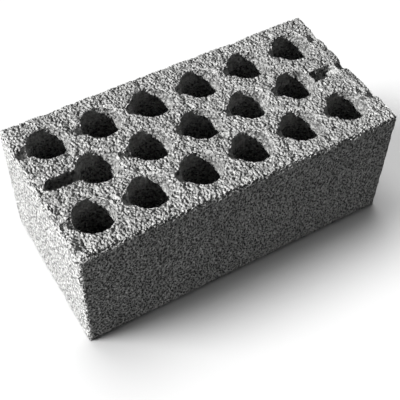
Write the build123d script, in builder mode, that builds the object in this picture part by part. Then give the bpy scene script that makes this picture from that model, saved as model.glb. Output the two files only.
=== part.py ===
from build123d import *
import math
import os

# Hollow concrete brick, moulded in one piece, with staggered rows of round holes right through it.
# X runs along the length, Y across the width, and Z up from the underside. Lengths are millimetres.

# Block
LENGTH = 250.0
WIDTH = 125.0
HEIGHT = 100.0
CORNER_RADIUS = 1.5  # upright edges
ARRIS_RADIUS = 1.0  # edges around the top face

# Holes
HOLE_DIAMETER = 27.0  # at the top
CORE_DRAFT_ANGLE = 0.25  # degrees; the holes narrow towards the underside
RIM_CHAMFER = 1.0  # worn mouth of each hole
END_WALL = 11.5  # from the end holes of a long row to the end faces
SIDE_WALL = 13.5  # from the outer rows to the long faces
LEAST_WEB = 11.0  # least material between neighbouring holes

# Marks of the bars that held the cores, pressed into the top face along each row
BAR_WIDTH = 9.0
BAR_DEPTH = 1.5
NOTCH_WIDTH = 11.0  # hollow where a bar meets a core, on both sides of each hole
NOTCH_DEPTH = 4.0
SLOT_WIDTH = 10.0  # deeper slot beyond the end holes of a short row
SLOT_DEPTH = 12.0
SLOT_END_WALL = 8.0  # from the slot to the end face

OVERRUN = 5.0  # how far a cut runs past the block

# Layout of the holes: as many as fit, spread evenly between the walls
hole_radius = HOLE_DIAMETER / 2
row_span = LENGTH - 2 * END_WALL - HOLE_DIAMETER
long_row_count = int((row_span + HOLE_DIAMETER + LEAST_WEB) // (HOLE_DIAMETER + LEAST_WEB))
hole_pitch = row_span / max(long_row_count - 1, 1)
stagger = hole_pitch / 2
least_row_pitch = math.sqrt(max((HOLE_DIAMETER + LEAST_WEB) ** 2 - stagger**2, hole_radius**2))
field_span = WIDTH - 2 * SIDE_WALL - HOLE_DIAMETER
row_gaps = int(field_span // least_row_pitch)
row_pitch = field_span / max(row_gaps, 1)
rows = [
    (row * row_pitch - row_gaps * row_pitch / 2, long_row_count - row % 2)
    for row in range(row_gaps + 1)
]
short_rows = [(y, count) for y, count in rows if count < long_row_count]

# Profile of one hole: a slight taper below a worn mouth
mouth_radius = hole_radius + RIM_CHAMFER
taper_height = HEIGHT - RIM_CHAMFER
foot_radius = hole_radius - (taper_height + OVERRUN) * math.tan(math.radians(CORE_DRAFT_ANGLE))

# A bar's mark is a shallow round-bottomed channel
bar_radius = (BAR_WIDTH**2 / 4 + BAR_DEPTH**2) / (2 * BAR_DEPTH)
bar_axis_height = HEIGHT - BAR_DEPTH + bar_radius

# A notch is part of a ball whose lowest point is at the hole's edge
notch_radius = (NOTCH_WIDTH**2 / 4 + NOTCH_DEPTH**2) / (2 * NOTCH_DEPTH)
notch_height = HEIGHT - NOTCH_DEPTH + notch_radius

# A slot starts in the middle of the last hole of its row
slot_start = row_span / 2 - stagger
slot_end = LENGTH / 2 - SLOT_END_WALL
slot_middle = (slot_start + slot_end) / 2

# Shape of one hole and its two notches, as the core that leaves them
with BuildPart() as core:
    with BuildSketch(Plane.XZ):
        with BuildLine():
            Polyline(
                (0, -OVERRUN),
                (foot_radius, -OVERRUN),
                (hole_radius, taper_height),
                (mouth_radius, HEIGHT),
                (mouth_radius, HEIGHT + OVERRUN),
                (0, HEIGHT + OVERRUN),
                close=True,
            )
        make_face()
    revolve(axis=Axis.Z)
    with Locations((-hole_radius, 0, notch_height), (hole_radius, 0, notch_height)):
        Sphere(notch_radius)

with BuildPart() as brick:
    # Block with worn arrises
    with BuildSketch():
        RectangleRounded(LENGTH, WIDTH, CORNER_RADIUS)
    extrude(amount=HEIGHT)
    top_face = brick.faces().sort_by(Axis.Z)[-1]
    fillet(top_face.outer_wire().edges(), ARRIS_RADIUS)

    # Holes, each row set half a pitch from the next
    for y, count in rows:
        with Locations((0, y)):
            with GridLocations(hole_pitch, row_pitch, count, 1):
                add(core.part, mode=Mode.SUBTRACT)

    # Channel along each row, across the webs and out through both end faces
    with BuildSketch(Plane.YZ):
        with Locations(*[(y, bar_axis_height) for y, count in rows]):
            Circle(bar_radius)
    extrude(amount=LENGTH / 2 + OVERRUN, both=True, mode=Mode.SUBTRACT)

    # Slots from the end holes of a short row towards the end faces
    with BuildSketch(Plane.XY.offset(HEIGHT)):
        for y, count in short_rows:
            with Locations((slot_middle, y), (-slot_middle, y)):
                SlotOverall(slot_end - slot_start, SLOT_WIDTH)
    extrude(amount=-SLOT_DEPTH, mode=Mode.SUBTRACT)

brick.part.label = "brick"

os.makedirs("parts", exist_ok=True)
export_step(brick.part, "parts/brick.step")
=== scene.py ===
import math

import bmesh
import bpy
import numpy as np
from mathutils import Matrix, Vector, noise


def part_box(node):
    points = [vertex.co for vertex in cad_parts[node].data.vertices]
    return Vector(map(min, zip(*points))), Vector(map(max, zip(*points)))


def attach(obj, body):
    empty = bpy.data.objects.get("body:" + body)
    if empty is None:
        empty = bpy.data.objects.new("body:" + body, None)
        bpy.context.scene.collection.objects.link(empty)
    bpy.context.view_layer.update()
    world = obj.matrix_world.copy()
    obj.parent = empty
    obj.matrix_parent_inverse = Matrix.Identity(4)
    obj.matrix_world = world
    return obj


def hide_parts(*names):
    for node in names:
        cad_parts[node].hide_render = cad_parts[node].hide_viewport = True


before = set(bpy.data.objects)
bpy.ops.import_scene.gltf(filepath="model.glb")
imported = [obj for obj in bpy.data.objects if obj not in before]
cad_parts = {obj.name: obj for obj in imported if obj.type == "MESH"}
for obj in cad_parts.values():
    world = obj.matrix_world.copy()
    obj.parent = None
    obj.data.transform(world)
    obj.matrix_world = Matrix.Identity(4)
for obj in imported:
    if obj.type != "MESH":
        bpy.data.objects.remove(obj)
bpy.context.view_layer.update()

MM = 1000  # millimetres in a metre; the values here are in millimetres unless they say otherwise

# Brick
LOW, HIGH = (np.array(corner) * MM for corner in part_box("brick"))
HEIGHT = HIGH[2]
HOLE_RADIUS = 13.5
HOLE_PITCH = 40.0
ROW_PITCH = 35.5
HOLES = [(HOLE_PITCH * (i - 2.5), s * ROW_PITCH) for s in (-1, 1) for i in range(6)]
HOLES += [(HOLE_PITCH * (i - 2), 0.0) for i in range(5)]

# Skin of the concrete
WELD = 1e-6  # metres
SKIN_VOXEL = 0.42
SKIN_TRIANGLES = 197000
SHARP_ANGLE = 50  # degrees

# Crumbs packed into the right-hand mark of each hole: how far they reach from the wall of the hole,
# and how deep their foot and their head lie
CRUMBS = (7.5, 6.0, 0.2)
CRUMBS_BY_SLOT = (3.0, 14.0, 1.5)
CRUMB_GAP = 0.4
CRUMB_SPREAD = 34  # degrees to each side
CRUMB_STEPS = 9
SLOT_FILL_ENDS = (95, 117.5)
SLOT_FILL_HALF_WIDTH = 5.5
SLOT_FILL_DEPTHS = (14.0, 9.0)

# Loose grains, the lumps they form, and slow waves along the top edges
GRAIN = 1.6  # spacing
GRAIN_RADIUS = 0.74  # in spacings
GRAIN_RELIEF = 1.3
GRAIN_RISE = 0.2
TONE_MIX = (12.9898, 78.233, 37.719)
MIDDLE_TONE = 0.45
LUMP = 5.5  # spacing
LUMP_LEVEL = 0.35
WAVE = 16.0  # spacing
WAVE_SHIFT = 50.0

# Zones under the top face: the depth at which each ends, and the depth at which it is full
TOP_ZONE = (15, 12)
MOUTH_ZONE = (16, 9)
ARRIS_ZONE = (6, 1.5)
RIM_ZONE = (7, 1.5)
WAVE_ZONE = (5, 1)
PIT_ZONE = (8, 3)

# Where the zones lie across the brick
FACES_UP = (0.2, 0.7)  # upward part of the normal
LIT_FLANK = (0.1, 0.6)  # rightward part of the direction from the middle of a hole
CLEAR_OF_SIDES = (1.5, 3.0)
SIDE_SKIN = 2.0
EDGE_BAND = 4.0
RIM_BAND = 1.5
WALL_START = (0.0, 2.0)
UNDERSIDE_SKIN = 0.5
AWAY = 50.0  # stands for the distance from an edge of a point that is on no face
HARDLY_ROUGH = 0.01

# Wear: its width, and how much it takes off
MOUTH_WEAR = 0.35
RIM_WIDTH, RIM_WEAR, RIM_LEVEL = 2.2, 1.8, 0.3
RIM_INNER = 3  # distances inward from a rim count this many times less
EDGE_WIDTH, EDGE_WEAR, EDGE_GRAIN, EDGE_LUMP = 1.5, 0.15, 0.7, 1.2
WAVE_WIDTH, WAVE_WEAR, WAVE_LEVEL = 3.5, 1.6, 0.05
PIT_LEAST, PIT_LUMP, PIT_LEVEL = 0.6, 0.8, 0.4

# Pits in the top face: place, radius and depth
PITS = [
    ((-80, 40), 4.0, 2.4),
    ((-62, 3), 4.5, 3.0),
    ((-92, 20), 2.6, 2.0),
    ((-84, -30), 2.8, 2.5),
    ((7, -17), 2.8, 2.6),
    ((-115, -54), 4.5, 2.4),
    ((-118, 35), 5.0, 4.0),
    ((-97, 2), 5.0, 2.5),
    ((-122, 1), 4.5, 4.0),
    ((-122, -33), 4.5, 3.5),
    ((-124, -61), 4.0, 3.2),
    ((118, -28), 2.8, 2.6),
    ((122, -35), 2.8, 2.8),
    ((120, 37), 4.0, 3.6),
    ((123, 2), 3.6, 4.5),
]

# Painted shade in the gaps between grains, on the lit flank of each hole's mouth and on the walls
# further down the holes, from 0 to 1
TOP_GAP_PAINTED_SHADE = 0.85
WALL_GAP_PAINTED_SHADE_LESS = 0.5
FLANK_GAP_PAINTED_SHADE, FLANK_PAINTED_SHADE = 2.2, 0.15
DEEP_WALL_PAINTED_SHADE = 0.4

# Patterns of the finish, in repeats per metre
SPECKS = 1500.0
FACE_GAPS = 620.0
PORES = 460.0
SAND = 720.0
UNEVEN = 300.0
STAINS = 14.0

# Range of each pattern, and the value given to both ends of it
FACE_GAP_RANGE = (0.5, 0.8, 0.0, 1.0)
PORE_RANGE = (0.24, 0.44, 1.0, 0.0)
# This one turns the painted shade of the gaps between grains and of the holes into a darker colour
PAINTED_SHADE_FACTOR = (0.1, 1.0, 1.1, 0.2)
SPECK_SHADE = (0.3, 0.7, 0.82, 1.18)
# These two paint shade into the gaps and pores of the faces
GAP_PAINTED_SHADE = (0.0, 1.0, 1.13, 0.35)
PORE_PAINTED_SHADE = (0.0, 1.0, 1.1, 0.16)
STAIN_SHADE = (0.3, 0.7, 0.93, 1.07)

# Share of each pattern in the relief
GAP_HEIGHT, SAND_HEIGHT, PORE_HEIGHT, UNEVEN_HEIGHT = -0.6, -0.6, -1.0, 1.2
RELIEF_HEIGHT = 0.0009  # metres

# Greys of the finish
GRAIN_GREYS = (0.30, 0.50)
FACE_GREYS = (0.25, 0.52)
BLUE_SHARE = 0.985
FINISH_ON_GRAINS = 0.25  # share of the face's gaps and pores that the loose grains keep
ROUGHNESS = 0.95
SHINE = 0.2

# Floor, in metres
FLOOR_SIZE = 4.0
FLOOR_DROP = 0.0002  # clear of the underside
FLOOR_WHITE = 0.92
FLOOR_DULL = 0.06

# Suns: the direction towards each, its strength, and its width in degrees
BRICK_SUNS = {
    "key_light": ((-0.922, 0.0, 0.385), 6.5, 3),
    "soft_light": ((-0.06, 0.06, 1.0), 0.25, 12),
}
FLOOR_SUNS = {
    "floor_light": ((-0.70, 0.28, 0.66), 2.5, 26),
    "floor_fill": ((0.0, 0.31, 0.95), 1.85, 42),
}

# Panel in front of the brick, in metres and watts
PANEL_PLACE = (-1.9, -0.6, 0.18)
PANEL_BACK = (-1.9, -0.6, 0.13)  # direction that its back faces
PANEL_SIZE = 0.35
PANEL_POWER = 11.2
ROOM_LIGHT = 0.036

# Camera, in metres and degrees
CAMERA_PLACE = (-0.2162, -0.3511, 0.5278)
CAMERA_TURN = (38.731, -1.032, -30.451)
CAMERA_LENS = 76.55
CAMERA_SENSOR = 36.0
CAMERA_NEAR = 0.01


def ramp(low, high, value):
    """0 below low, 1 above high, smooth between."""
    t = np.clip((value - low) / (high - low), 0.0, 1.0)
    return t * t * (3.0 - 2.0 * t)


def under_top(zone, z):
    """1 in a zone under the top face, falling to 0 below it."""
    gone, full = zone
    return ramp(HEIGHT - gone, HEIGHT - full, z)


def bump(value, width):
    """1 at zero, falling off over width."""
    return np.exp(-((value / width) ** 2))


def cells(points, spacing):
    """Distance to the nearest grain centre, in spacings, and a tone of its own for each grain."""
    near = np.empty(len(points))
    tone = np.empty(len(points))
    mix_x, mix_y, mix_z = TONE_MIX
    for i, point in enumerate((points / spacing).tolist()):
        distances, centres = noise.voronoi(point)
        near[i] = distances[0]
        c = centres[0]
        tone[i] = (c.x * mix_x + c.y * mix_y + c.z * mix_z) % 1.0
    return near, tone


def clouds(points, spacing, shift=0.0):
    """Soft noise between about -1 and 1."""
    return np.array([noise.noise(p) for p in ((points + shift) / spacing).tolist()])


def places(mesh):
    """Where a mesh's vertices are, in metres."""
    at = np.empty(len(mesh.vertices) * 3, np.float32)
    mesh.vertices.foreach_get("co", at)
    return at.reshape(-1, 3)


def move_to(mesh, at):
    """Moves a mesh's vertices to these places, in metres."""
    mesh.vertices.foreach_set("co", at.astype(np.float32).ravel())


def with_modifiers(piece):
    """Applies a piece's modifiers to its mesh."""
    graph = bpy.context.evaluated_depsgraph_get()
    mesh = bpy.data.meshes.new_from_object(piece.evaluated_get(graph))
    piece.modifiers.clear()
    old, piece.data = piece.data, mesh
    bpy.data.meshes.remove(old)


def pack(bm, outline, foot, head):
    """A block of packed crumbs over an outline, between two depths under the top face."""
    low, high = HEIGHT - foot, HEIGHT - head
    face = bm.faces.new([bm.verts.new((x / MM, y / MM, low / MM)) for x, y in outline])
    risen = bmesh.ops.extrude_face_region(bm, geom=[face])["geom"]
    upper = [v for v in risen if isinstance(v, bmesh.types.BMVert)]
    bmesh.ops.translate(bm, verts=upper, vec=(0, 0, (high - low) / MM))


def add_crumbs(bm):
    """Crumbs packed into the mark on one side of each hole, and into the slot at that end."""
    turns = np.radians(np.linspace(-CRUMB_SPREAD, CRUMB_SPREAD, CRUMB_STEPS))
    for hx, hy in HOLES:
        by_slot = (hx, hy) == HOLES[-1]
        reach, foot, head = CRUMBS_BY_SLOT if by_slot else CRUMBS
        arcs = [(HOLE_RADIUS + CRUMB_GAP, turns), (HOLE_RADIUS + reach, turns[::-1])]
        sector = [(hx + r * math.cos(a), hy + r * math.sin(a)) for r, arc in arcs for a in arc]
        pack(bm, sector, foot, head)
    start, end = SLOT_FILL_ENDS
    side = SLOT_FILL_HALF_WIDTH
    pack(bm, [(start, -side), (end, -side), (end, side), (start, side)], *SLOT_FILL_DEPTHS)
    bmesh.ops.recalc_face_normals(bm, faces=bm.faces)


def fine_skin(node):
    """A closed, even skin over a copy of the solid's mesh."""
    bm = bmesh.new()
    bm.from_mesh(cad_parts[node].data)
    bmesh.ops.remove_doubles(bm, verts=bm.verts, dist=WELD)
    add_crumbs(bm)
    mesh = bpy.data.meshes.new("concrete_skin")
    bm.to_mesh(mesh)
    bm.free()
    piece = bpy.data.objects.new("concrete_brick", mesh)
    bpy.context.scene.collection.objects.link(piece)
    even = piece.modifiers.new("even_skin", "REMESH")
    even.mode = "VOXEL"
    even.voxel_size = SKIN_VOXEL / MM
    with_modifiers(piece)
    return piece


def crumble(piece):
    """Open-textured concrete: loose grains on top and in the mouths of the holes, worn edges."""
    mesh = piece.data
    at = places(mesh).astype(float) * MM
    out = np.empty(at.size, np.float32)
    mesh.vertex_normals.foreach_get("vector", out)
    out = out.reshape(-1, 3).astype(float)
    x, y, z = at.T

    # Distances from the rims of the holes, the sides and the edges of the block
    from_holes = np.array([np.hypot(x - hx, y - hy) for hx, hy in HOLES])
    rim = from_holes.min(axis=0) - HOLE_RADIUS
    hole_x = np.array(HOLES)[from_holes.argmin(axis=0), 0]
    from_end, from_front = HIGH[0] - np.abs(x), HIGH[1] - np.abs(y)
    to_side = np.minimum(from_end, from_front)
    to_faces = np.sort([from_end, from_front, np.minimum(z, HEIGHT - z)], axis=0)
    to_edge = np.where(to_faces[0] < SIDE_SKIN, to_faces[1], AWAY)

    # Zones of the skin
    lit_flank = ramp(*LIT_FLANK, (x - hole_x) / (rim + HOLE_RADIUS))
    clear = ramp(*CLEAR_OF_SIDES, to_side)
    top = ramp(*FACES_UP, out[:, 2]) * under_top(TOP_ZONE, z)
    mouth = under_top(MOUTH_ZONE, z) * clear
    arris = under_top(ARRIS_ZONE, z) * (to_side < SIDE_SKIN)
    loose = np.maximum(top, mouth)
    rough = np.maximum(loose, arris)
    inside = ramp(*WALL_START, HEIGHT - z) * clear * (rim < RIM_BAND) * (z > UNDERSIDE_SKIN)

    # Noise, worked out only where the skin is rough
    near, tone, lumps, waves = (np.full(len(at), v) for v in (0.0, MIDDLE_TONE, 0.0, 0.0))
    busy = np.flatnonzero((rough > HARDLY_ROUGH) | (to_edge < EDGE_BAND))
    near[busy], tone[busy] = cells(at[busy], GRAIN)
    lumps[busy] = clouds(at[busy], LUMP)
    waves[busy] = clouds(at[busy], WAVE, WAVE_SHIFT)

    # Rounded grains with gaps between them
    grains = 1.0 - np.sqrt(np.clip(1 - (near / GRAIN_RADIUS) ** 2, 0, 1))
    drop = rough * (GRAIN_RELIEF * grains + np.clip(LUMP_LEVEL - lumps, 0, 1) - GRAIN_RISE)
    drop += MOUTH_WEAR * mouth * (1 - top)

    # Crumbled rims and edges, and pits
    past_rim = np.minimum(rim, 0) / RIM_INNER + np.maximum(rim, 0)
    worn_rim = bump(past_rim, RIM_WIDTH) * under_top(RIM_ZONE, z)
    drop += worn_rim * mouth * RIM_WEAR * np.clip(lumps + RIM_LEVEL, 0, 1)
    edge_wear = EDGE_WEAR + EDGE_GRAIN * grains + EDGE_LUMP * np.clip(lumps, 0, 1)
    drop += bump(to_edge, EDGE_WIDTH) * edge_wear
    by_side = bump(to_side, WAVE_WIDTH) * under_top(WAVE_ZONE, z)
    drop += by_side * WAVE_WEAR * np.clip(waves + WAVE_LEVEL, 0, 1)
    pit_zone = under_top(PIT_ZONE, z)
    pit_wear = PIT_LEAST + PIT_LUMP * np.clip(lumps + PIT_LEVEL, 0, 1)
    for (px, py), radius, depth in PITS:
        drop += depth * bump(np.hypot(x - px, y - py), radius) * pit_zone * pit_wear

    # Painted shade: dark gaps between the loose grains, deeper painted gaps on the lit flank of
    # each hole's mouth, and an even painted shade on the walls below
    flank_shade = np.clip(FLANK_GAP_PAINTED_SHADE * grains + FLANK_PAINTED_SHADE, 0, 1)
    wall_shade = flank_shade * mouth * lit_flank + DEEP_WALL_PAINTED_SHADE * (1 - mouth)
    painted_shade = np.maximum((TOP_GAP_PAINTED_SHADE - WALL_GAP_PAINTED_SHADE_LESS * inside) * loose * grains, inside * wall_shade)

    # Move the skin inwards, slantwise along the top edges, and never past the faces of the block
    out[:, 2] += arris * (1 - top)
    out /= np.linalg.norm(out, axis=1)[:, None]
    move_to(mesh, np.clip(at - out * drop[:, None], LOW, HIGH) / MM)
    mesh.update()
    # Stores the painted shade, the tone of each grain and the loose zone on the vertices
    for name, values in (("painted_shade", painted_shade), ("grain", tone), ("loose", loose)):
        attribute = mesh.attributes.new(name, "FLOAT", "POINT")
        attribute.data.foreach_set("value", values.astype(np.float32))


def thin_out(piece):
    """Fewer triangles where the skin is plain, and none of them past the faces of the block."""
    thin = piece.modifiers.new("fewer_triangles", "DECIMATE")
    thin.ratio = SKIN_TRIANGLES / sum(len(p.vertices) - 2 for p in piece.data.polygons)
    with_modifiers(piece)
    mesh = piece.data
    move_to(mesh, np.clip(places(mesh), LOW / MM, HIGH / MM))
    mesh.shade_smooth()
    mesh.set_sharp_from_angle(angle=math.radians(SHARP_ANGLE))
    flat = piece.modifiers.new("flat_faces", "WEIGHTED_NORMAL")
    flat.keep_sharp = True
    with_modifiers(piece)


class Nodes:
    """A node tree with short calls for the nodes that the finishes use."""

    def __init__(self, owner):
        owner.use_nodes = True
        self.tree = owner.node_tree
        self.tree.nodes.clear()

    def add(self, kind, inputs=None, **settings):
        node = self.tree.nodes.new(kind)
        for name, value in settings.items():
            setattr(node, name, value)
        for name, value in (inputs or {}).items():
            socket = node.inputs[name]
            if isinstance(value, bpy.types.NodeSocket):
                self.tree.links.new(value, socket)
            else:
                socket.default_value = value
        return node

    def math(self, operation, *values):
        """Joins values with one operation, from the first to the last."""
        total = values[0]
        for value in values[1:]:
            step = self.add("ShaderNodeMath", {0: total, 1: value}, operation=operation)
            total = step.outputs[0]
        return total

    def between(self, value, low, high, to_low, to_high):
        """Maps a value from one range to another."""
        ends = {"From Min": low, "From Max": high, "To Min": to_low, "To Max": to_high}
        return self.add("ShaderNodeMapRange", {"Value": value, **ends}).outputs["Result"]

    def clouds(self, place, scale):
        """Soft noise from 0 to 1."""
        inputs = {"Vector": place, "Scale": scale, "Detail": 1.0}
        return self.add("ShaderNodeTexNoise", inputs).outputs["Fac"]

    def cells(self, place, scale):
        """Distance and colour of the nearest cell."""
        return self.add("ShaderNodeTexVoronoi", {"Vector": place, "Scale": scale}).outputs

    def greys(self, fac, levels):
        """From one grey to another, a little warm."""
        blend = self.add("ShaderNodeValToRGB", {"Fac": fac})
        for stop, level in zip(blend.color_ramp.elements, levels):
            stop.color = (level, level, level * BLUE_SHARE, 1)
        return blend.outputs["Color"]

    def mix(self, share, a, b, blend="MIX"):
        """Blends two colours."""
        inputs = {0: share, 6: a, 7: b}
        node = self.add("ShaderNodeMix", inputs, data_type="RGBA", blend_type=blend)
        return node.outputs[2]

    def seen(self):
        """1 for what the camera sees, also in a reflection, and 0 for light thrown about."""
        rays = self.add("ShaderNodeLightPath").outputs
        kinds = ("Is Glossy Ray", "Is Transmission Ray", "Is Camera Ray")
        return self.math("MAXIMUM", *(rays[kind] for kind in kinds))

    def finish(self, kind, shader):
        """Puts a shader out as the surface."""
        self.add(kind, {"Surface": shader.outputs[0]})


def concrete():
    """Grey concrete: loose grains of several greys with painted shade in the gaps, fine pores in
    the faces with painted shade in them.
    """
    material = bpy.data.materials.new("open_textured_concrete")
    n = Nodes(material)
    place = n.add("ShaderNodeTexCoord").outputs["Object"]
    # Painted shade from the skin, the tone of each grain, and where the grains lie loose
    painted_shade, grain, loose = (
        n.add("ShaderNodeAttribute", attribute_name=name).outputs["Fac"]
        for name in ("painted_shade", "grain", "loose")
    )
    sand = n.cells(place, SAND)
    sand_tone = n.add("ShaderNodeSeparateColor", {"Color": sand["Color"]}).outputs[1]
    face = n.between(loose, 0.0, 1.0, 1.0, FINISH_ON_GRAINS)
    gaps = n.cells(place, FACE_GAPS)["Distance"]
    gap = n.math("MULTIPLY", n.between(gaps, *FACE_GAP_RANGE), face)
    pores = n.cells(place, PORES)["Distance"]
    pore = n.math("MULTIPLY", n.between(pores, *PORE_RANGE), face)

    # Colour: grains and faces, with painted shade in the gaps between grains, in the holes and in
    # the gaps and pores of the faces, and with specks and faint stains
    base = n.mix(loose, n.greys(sand_tone, FACE_GREYS), n.greys(grain, GRAIN_GREYS))
    shade = n.math(
        "MULTIPLY",
        n.between(painted_shade, *PAINTED_SHADE_FACTOR),
        n.between(n.clouds(place, SPECKS), *SPECK_SHADE),
        n.between(gap, *GAP_PAINTED_SHADE),
        n.between(pore, *PORE_PAINTED_SHADE),
        n.between(n.clouds(place, STAINS), *STAIN_SHADE),
    )
    tint = n.add("ShaderNodeCombineColor", {0: shade, 1: shade, 2: shade}).outputs["Color"]
    colour = n.mix(1.0, base, tint, "MULTIPLY")

    # Relief: sand grains over uneven faces, sunk in the gaps and pores
    height = n.math(
        "ADD",
        n.math("MULTIPLY", gap, GAP_HEIGHT),
        n.math("MULTIPLY", sand["Distance"], SAND_HEIGHT),
        n.math("MULTIPLY", pore, PORE_HEIGHT),
        n.math("MULTIPLY", n.clouds(place, UNEVEN), UNEVEN_HEIGHT),
    )
    relief = n.add("ShaderNodeBump", {"Height": height, "Strength": 1.0, "Distance": RELIEF_HEIGHT})
    surface = n.add(
        "ShaderNodeBsdfPrincipled",
        {
            "Base Color": colour,
            "Roughness": ROUGHNESS,
            "Normal": relief.outputs["Normal"],
            "Specular IOR Level": SHINE,
        },
    )
    n.finish("ShaderNodeOutputMaterial", surface)
    return material


def pale_floor():
    """White floor that keeps the shadow, and throws little light back up."""
    bm = bmesh.new()
    bmesh.ops.create_grid(bm, x_segments=1, y_segments=1, size=FLOOR_SIZE)
    mesh = bpy.data.meshes.new("floor")
    bm.to_mesh(mesh)
    bm.free()
    floor = bpy.data.objects.new("floor", mesh)
    bpy.context.scene.collection.objects.link(floor)
    material = bpy.data.materials.new("pale_floor")
    n = Nodes(material)
    dull, white = (
        n.add("ShaderNodeBsdfDiffuse", {"Color": (level, level, level, 1)}).outputs[0]
        for level in (FLOOR_DULL, FLOOR_WHITE)
    )
    mix = n.add("ShaderNodeMixShader", {0: n.seen(), 1: dull, 2: white})
    n.finish("ShaderNodeOutputMaterial", mix)
    mesh.materials.append(material)
    floor.location.z = -FLOOR_DROP
    return floor


def hang(light, target):
    """Puts a light in the scene that shines on one object only."""
    holder = bpy.data.objects.new(light.name, light)
    bpy.context.scene.collection.objects.link(holder)
    lit = bpy.data.collections.new(light.name + "_lights")
    lit.objects.link(target)
    holder.light_linking.receiver_collection = lit
    return holder


def sun(name, target, towards, strength, width):
    """A far light that shines on one object only."""
    light = bpy.data.lights.new(name, "SUN")
    light.energy = strength
    light.angle = math.radians(width)
    x, y, z = towards
    slope, turn = math.atan2(math.hypot(x, y), z), math.atan2(y, x) + math.pi / 2
    hang(light, target).rotation_euler = (slope, 0, turn)


def studio_light(brick, floor):
    """A key light from the left, a soft light above, a panel in front, and floor lights."""
    for target, suns in ((brick, BRICK_SUNS), (floor, FLOOR_SUNS)):
        for name, settings in suns.items():
            sun(name, target, *settings)

    panel = bpy.data.lights.new("front_fill", "AREA")
    panel.energy = PANEL_POWER
    panel.size = PANEL_SIZE
    holder = hang(panel, brick)
    holder.location = PANEL_PLACE
    holder.rotation_euler = Vector(PANEL_BACK).to_track_quat("Z", "Y").to_euler()

    world = bpy.data.worlds.new("room")
    n = Nodes(world)
    strength = n.between(n.seen(), 0.0, 1.0, ROOM_LIGHT, 1.0)
    glow = n.add("ShaderNodeBackground", {"Color": (1, 1, 1, 1), "Strength": strength})
    n.finish("ShaderNodeOutputWorld", glow)
    bpy.context.scene.world = world


def camera():
    """Looks down on the brick from the front left."""
    lens = bpy.data.cameras.new("camera")
    lens.lens = CAMERA_LENS
    lens.sensor_width = CAMERA_SENSOR
    lens.clip_start = CAMERA_NEAR
    holder = bpy.data.objects.new("camera", lens)
    holder.location = CAMERA_PLACE
    holder.rotation_euler = [math.radians(a) for a in CAMERA_TURN]
    bpy.context.scene.collection.objects.link(holder)
    bpy.context.scene.camera = holder


camera()
floor = pale_floor()

brick = fine_skin("brick")
crumble(brick)
thin_out(brick)
brick.data.materials.append(concrete())
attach(brick, "root")
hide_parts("brick")
studio_light(brick, floor)

bpy.context.scene.view_settings.view_transform = "Standard"
